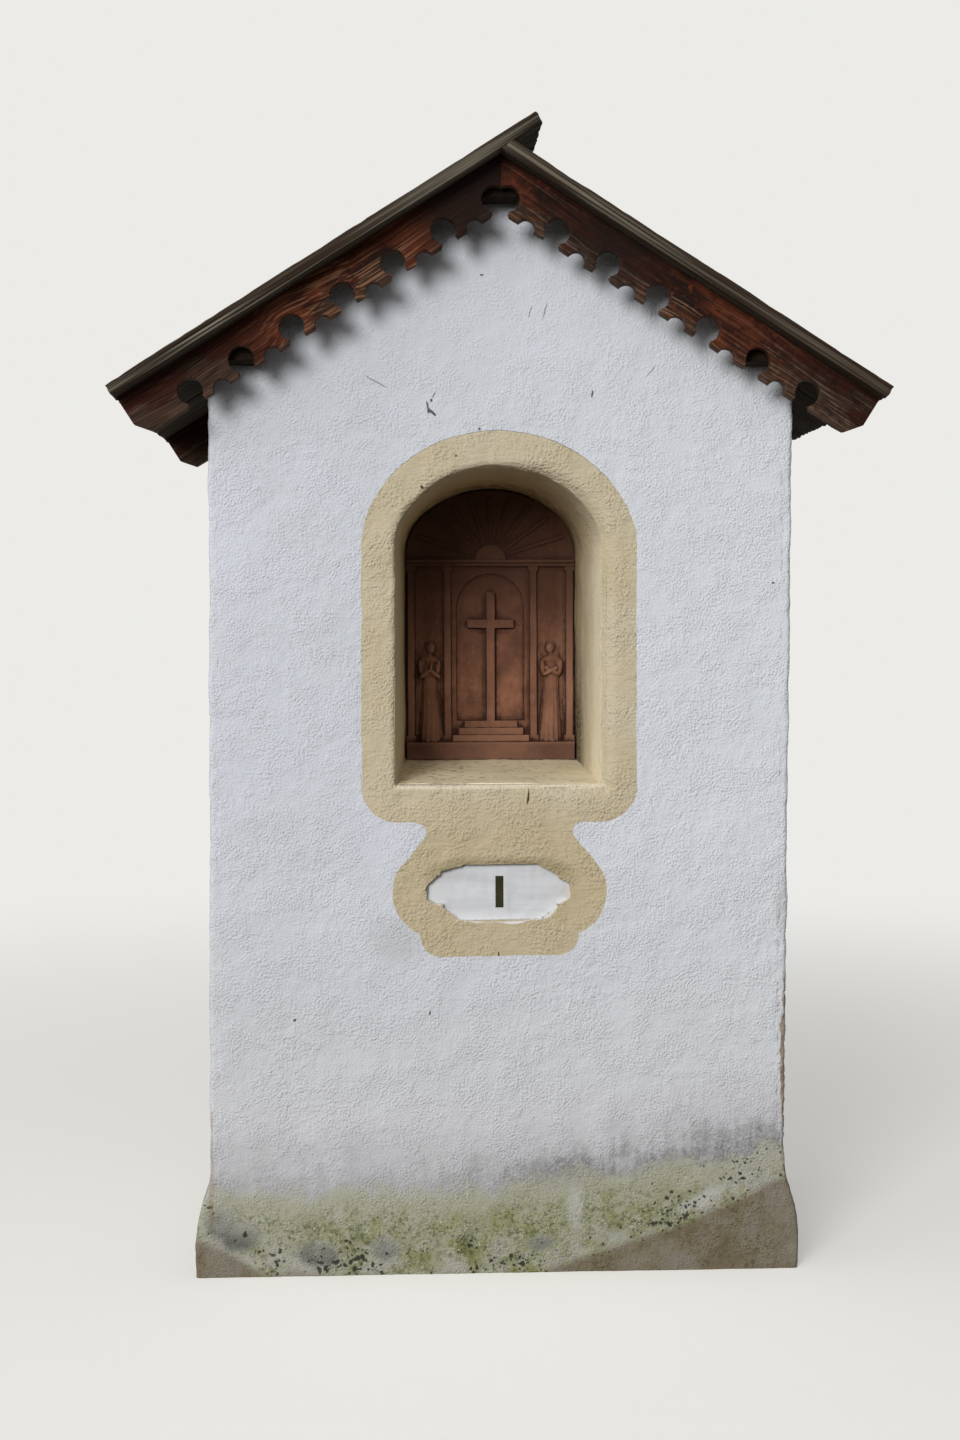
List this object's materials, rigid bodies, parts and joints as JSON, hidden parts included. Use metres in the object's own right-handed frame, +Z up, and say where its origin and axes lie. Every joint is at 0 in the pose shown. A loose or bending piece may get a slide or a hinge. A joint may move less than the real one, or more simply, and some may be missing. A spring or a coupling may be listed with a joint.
{
  "type": "wayside shrine",
  "caption": "Rendered masonry pillar shrine with an arched niche, a terracotta relief, a number plate and a boarded saddle roof with fretted bargeboards.",
  "frame": {"origin": "middle of the pillar's plan at the lowest ground level", "axes": "+Z up, the niche faces -Y, +X to the right as seen from the front"},
  "size_m": [1.3004, 0.85, 1.9661],
  "materials": {
    "masonry": "rough masonry, covered by render",
    "white_render": "hand-trowelled white lime render, stained at the foot",
    "ochre_render": "hand-trowelled render painted pale ochre",
    "terracotta": "unglazed fired clay, darkened by weather",
    "number_plate": "smooth white render",
    "numeral_paint": "dark olive, matt",
    "frame_timber": "sawn, stained brown and weathered",
    "roof_board": "sawn, weathered grey",
    "bargeboard": "planed, red-brown stain worn by weather"
  },
  "bodies": {
    "root": {"masonry_core": "masonry", "render_front": "white_render", "render_left": "white_render", "render_right": "white_render", "render_back": "white_render", "niche_surround": "ochre_render", "niche_lining": "ochre_render", "niche_sill": "ochre_render", "relief_panel": "terracotta", "number_plate": "number_plate", "numeral_stroke": "numeral_paint", "ridge_purlin": "frame_timber", "eaves_purlin_left": "frame_timber", "eaves_purlin_right": "frame_timber", "roof_board_left_1": "roof_board", "roof_board_left_2": "roof_board", "roof_board_left_3": "roof_board", "roof_board_left_4": "roof_board", "roof_board_left_5": "roof_board", "roof_board_right_1": "roof_board", "roof_board_right_2": "roof_board", "roof_board_right_3": "roof_board", "roof_board_right_4": "roof_board", "roof_board_right_5": "roof_board", "bargeboard_front_left": "bargeboard", "bargeboard_front_right": "bargeboard", "bargeboard_back_left": "bargeboard", "bargeboard_back_right": "bargeboard"}
  },
  "joints": []
}
